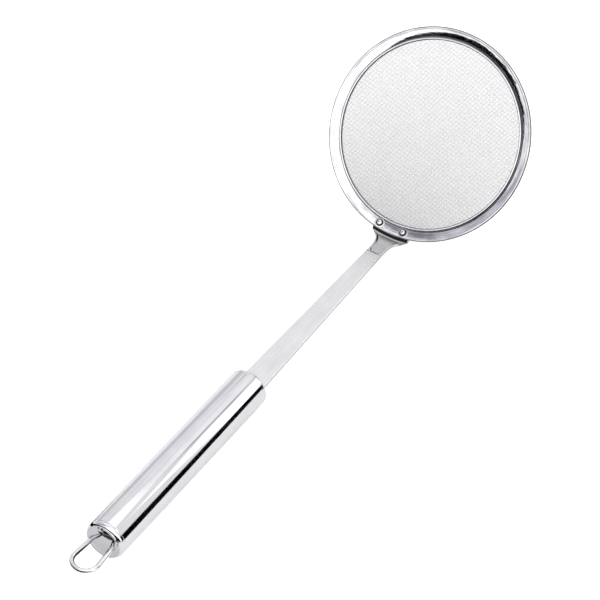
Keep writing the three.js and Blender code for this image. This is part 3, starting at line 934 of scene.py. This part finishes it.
def woven_steel():
    """Bright drawn wire with an even grain."""
    return steel(
        "woven_steel",
        plain_coordinates,
        lines=(1.7, 1.7, 1.7),
        waves=(0.15, 0.15, 0.15),
        tints=((0.36, 0.36, 0.37, 1), (0.43, 0.43, 0.44, 1)),
        roughness=(0.2, 0.35),
        relief=(0.004, 0.0),
    )


def strap_steel():
    """Steel brushed along the strap, with a dull, pressed neck and painted shade in three places.
    """
    return steel(
        "strap_steel",
        plain_coordinates,
        lines=(0.05, 6.0, 6.0),
        waves=(0.04, 0.15, 0.15),
        tints=((0.66, 0.655, 0.665, 1), (0.76, 0.755, 0.765, 1)),
        roughness=(0.16, 0.28),
        relief=(0.003, 0.02),
        # painted shade: the strap's sides, the steep step beside the rim (near black) and the
        # trough's round end are darkened to stand in for shadows and dark reflections
        painted_shade=[(side_faces, 0.45), (neck_step, 0.02), (trough_tip, 0.06)],
        matt=(pressed_neck, 0.5),
    )


def polished_handle_steel(name, painted_shade=()):
    """Mirror-polished steel with faint marks along the handle."""
    return steel(
        name,
        lambda tree: turned_coordinates(tree, "X", TUBE_RADIUS),
        lines=(0.4, 3.0, 0.03),
        waves=(0.05, 0.1, 0.03),
        tints=((0.63, 0.625, 0.65, 1), (0.70, 0.695, 0.72, 1)),
        roughness=(0.06, 0.12),
        relief=(0.0008, 0.01),
        painted_shade=painted_shade,
    )


def polished_wire_steel():
    """Polished wire, with painted shade on the loop's inside."""
    return steel(
        "polished_wire_steel",
        plain_coordinates,
        lines=(0.3, 2.5, 2.5),
        waves=(0.2, 0.2, 0.2),
        tints=((0.63, 0.63, 0.64, 1), (0.74, 0.735, 0.75, 1)),
        roughness=(0.07, 0.14),
        relief=(0.001, 0.01),
        # painted shade: the side facing into the loop is darkened to near black, standing in for
        # dark reflections
        painted_shade=[(wire_inside, 0.03)],
    )


def rivet_steel():
    """Polished steel with painted shade in the groove around the raised middle."""
    return steel(
        "rivet_steel",
        plain_coordinates,
        lines=(2.0, 2.0, 2.0),
        waves=(0.6, 0.6, 0.6),
        tints=((0.66, 0.66, 0.67, 1), (0.76, 0.76, 0.77, 1)),
        roughness=(0.1, 0.2),
        relief=(0.002, 0.02),
        # painted shade: the groove around the boss is darkened, standing in for shade in the crease
        # and dark reflections
        painted_shade=[(boss_crease, 0.03)],
    )


# ---- Studio ------------------------------------------------------------------------------------

def make_camera():
    """A long lens that looks down at the tool from beyond its loop, a little to one side."""
    direction = Vector(
        (
            math.cos(CAMERA_ELEVATION) * math.cos(CAMERA_AZIMUTH),
            math.cos(CAMERA_ELEVATION) * math.sin(CAMERA_AZIMUTH),
            math.sin(CAMERA_ELEVATION),
        )
    )
    lens = bpy.data.cameras.new("camera")
    lens.lens = CAMERA_LENS
    lens.sensor_width = 36
    lens.clip_end = 50
    camera = bpy.data.objects.new("camera", lens)
    bpy.context.scene.collection.objects.link(camera)
    camera.location = CAMERA_TARGET + direction * CAMERA_DISTANCE
    camera.rotation_mode = "QUATERNION"
    roll = Quaternion((0, 0, 1), CAMERA_ROLL)
    camera.rotation_quaternion = direction.to_track_quat("Z", "Y") @ roll
    bpy.context.scene.camera = camera


def sky_patch(tree, direction, below, azimuth, elevation, radiance, softness):
    """Lays one panel of light or shade over the dome. Its azimuth and elevation are (low, high)
    pairs, softness is the width of its soft edge, and all are in degrees."""
    middle = math.radians(sum(azimuth) / 2)
    inputs = {"Vector": direction, "Angle": -middle}
    turned = node(tree, "VectorRotate", inputs, rotation_type="Z_AXIS").outputs[0]
    parts = node(tree, "SeparateXYZ", {0: turned}).outputs
    sideways = calculate(tree, "ABSOLUTE", calculate(tree, "ARCTAN2", parts[1], parts[0]))
    upward = calculate(tree, "ARCSINE", parts[2])
    level = math.radians(sum(elevation) / 2)
    away = calculate(tree, "ABSOLUTE", calculate(tree, "SUBTRACT", upward, level))
    soft = math.radians(softness / 2)
    share = 1.0
    for value, (low, high) in ((sideways, azimuth), (away, elevation)):
        half = math.radians((high - low) / 2)
        inside = ramp(tree, value, half - soft, half + soft, 1.0, 0.0)
        share = calculate(tree, "MULTIPLY", inside, share)
    return mix_colours(tree, share, below, (*radiance, 1))


def make_world():
    """A pale dome with soft white panels and a few greyer ones, for the steel to reflect. An
    elevation over 90 degrees only keeps a panel's soft edge away from the point straight above."""
    world = bpy.data.worlds.new("studio")
    bpy.context.scene.world = world
    world.use_nodes = True
    tree = world.node_tree
    tree.nodes.clear()
    direction = node(tree, "TexCoord").outputs["Generated"]
    light = node(tree, "RGB").outputs[0]
    light.default_value = (DOME_RADIANCE, DOME_RADIANCE, 1.01 * DOME_RADIANCE, 1)
    panels = (
        ((-180, 180), (54, 100), (1.6, 1.6, 1.61)),  # bright ceiling
        ((-180, 180), (72, 108), (1.0, 1.0, 1.02)),  # greyer middle of it, straight above
        ((-172, -140), (33, 50), (1.1, 1.1, 1.12)),  # far wall, upper part
        ((-170, -147), (8, 34), (0.84, 0.80, 0.81)),  # far wall, lower part
        ((-145, -110), (-6, 20), (0.8, 0.79, 0.82)),  # low wall beside it
        ((-97, -48), (18, 74), (0.66, 0.645, 0.70)),  # grey side wall
        ((-84, -63), (50, 72), (0.36, 0.35, 0.38)),  # darker spot high on it
        ((-14, 95), (4, 100), (1.75, 1.75, 1.75)),  # white wall behind the camera
        ((-45, -14), (3, 24), (1.5, 1.5, 1.5)),  # its low end
        ((133, 157), (6, 42), (2.0, 2.0, 2.0)),  # window on the other side
        ((167, 195), (38, 56), (1.22, 1.22, 1.24)),  # pale panel past the head
        ((157, 167), (38, 49), (0.62, 0.62, 0.65)),  # narrow gap beside it
    )
    for azimuth, elevation, radiance in panels:
        light = sky_patch(tree, direction, light, azimuth, elevation, radiance, PANEL_SOFTNESS)
    background = node(tree, "Background", {"Color": light, "Strength": 1.0})
    node(tree, "OutputWorld", {"Surface": background.outputs[0]})


def plain_material(name, colour, roughness):
    """An even, dull material for the stage."""
    material = bpy.data.materials.new(name)
    material.use_nodes = True
    tree = material.node_tree
    tree.nodes.clear()
    inputs = {"Base Color": (*colour, 1), "Roughness": roughness, "Specular IOR Level": 0.0}
    shader = node(tree, "BsdfPrincipled", inputs)
    node(tree, "OutputMaterial", {"Surface": shader.outputs[0]})
    return material


def flat_sheet(name, corners, material):
    """A four-cornered sheet of the stage, in the part's own frame."""
    mesh = bpy.data.meshes.new(name)
    mesh.from_pydata(corners, [], [(0, 1, 2, 3)])
    mesh.materials.append(material)
    sheet = place(name, mesh, Matrix.Identity(4))
    return sheet


def make_floor():
    """A pale floor that looks a little brighter straight on than in reflections, as if lit from
    below, so that the shadows on it stay faint."""
    material = plain_material("pale_floor", FLOOR_COLOUR, 0.9)
    tree = material.node_tree
    shader = tree.nodes["Principled BSDF"]
    shader.inputs["Emission Color"].default_value = (1, 1, 1, 1)
    seen = node(tree, "LightPath").outputs["Is Camera Ray"]
    glow = calculate(tree, "MULTIPLY", seen, FLOOR_GLOW)
    tree.links.new(glow, shader.inputs["Emission Strength"])
    reach = (-FLOOR_SIZE / 2, FLOOR_SIZE / 2)
    flat_sheet("floor", lying(reach, reach, height=0), material)


def dark_card(name, corners, material):
    """A black card that shows only in reflections."""
    card = flat_sheet(name, corners, material)
    card.visible_camera = False
    card.visible_diffuse = False
    card.visible_shadow = False


def standing(start, end, start_height, end_height):
    """Corners of a card that stands on the floor between two points."""
    foot_height = FLOOR_LIFT + 0.0001
    foot = [(*start, foot_height), (*end, foot_height)]
    return foot + [(*end, end_height), (*start, start_height)]


def lying(x, y, height=FLOOR_LIFT):
    """Corners of a level sheet between two x and two y positions."""
    spots = ((x[0], y[0]), (x[1], y[0]), (x[1], y[1]), (x[0], y[1]))
    return [(*spot, height) for spot in spots]


def make_cards():
    """Cards beside the handle and beyond its loop, which the steel reflects as dark stripes."""
    black = plain_material("black_card", (0.0, 0.0, 0.0), 1.0)
    cards = {
        "handle_card": standing((-0.27, 0.135), (0.13, 0.135), 0.034, 0.068),
        "handle_card_foot": lying((-0.27, 0.13), (0.105, 0.135)),
        "far_card": standing((0.30, -0.9), (0.30, 0.4), 0.115, 0.115),
        "far_card_foot": lying((0.09, 0.30), (-0.9, -0.08)),
        "loop_card": lying((0.225, 0.30), (-0.05, 0.06)),
    }
    for name, corners in cards.items():
        dark_card(name, corners, black)


# ---- Scene -------------------------------------------------------------------------------------

make_camera()
bpy.context.scene.view_settings.view_transform = "Standard"
make_world()
make_floor()
make_cards()

rim_material = turned_rim_steel()
handle_material = polished_handle_steel("polished_handle_steel")
# painted shade: the rear cap's domed end is a darker grey, standing in for the grey reflection it
# shows
rear_cap_material = polished_handle_steel("rear_cap_steel", [(domed_end, 0.49)])

front_cap = place("front_cap_shell", make_front_cap(), TOOL)
carve(front_cap, place("slot_cutter", slot_cutter(), TOOL))
rear_cap = place("rear_cap_shell", make_rear_cap(), TOOL)
for side in (-1, 1):
    carve(rear_cap, place("hole_cutter", hole_cutter(side), TOOL))

pieces = [
    (place("rim_band", make_rim(), HEAD), "rim_ring", "rim_steel", rim_material),
    (place("clamp_ring", make_clamp(), HEAD), "mesh_clamp_ring", "rim_steel", clamp_steel()),
    (place("strap", make_strap(), TOOL), "neck_strap", "strap_steel", strap_steel()),
    (front_cap, "front_cap", "handle_steel", handle_material),
    (place("tube", make_tube(), TOOL), "handle_tube", "handle_steel", handle_material),
    (rear_cap, "rear_cap", "handle_steel", rear_cap_material),
    (place("loop_wire", make_loop(), TOOL), "hanging_loop", "loop_steel", polished_wire_steel()),
]
rivet_material = rivet_steel()
for name, side in (("left", -1), ("right", 1)):
    rivet = place(f"rivet_head_{name}", make_rivet(), rivet_matrix(side))
    pieces.append((rivet, f"rivet_{name}", "rivet_steel", rivet_material))
woven_material = woven_steel()
for wires in make_weave():
    pieces.append((wires, "mesh_disc", "mesh_steel", woven_material))

for piece, cad_node, slot, material in pieces:
    piece.data.materials.clear()
    piece.data.materials.append(material)
    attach(piece, "root")
    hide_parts(cad_node)
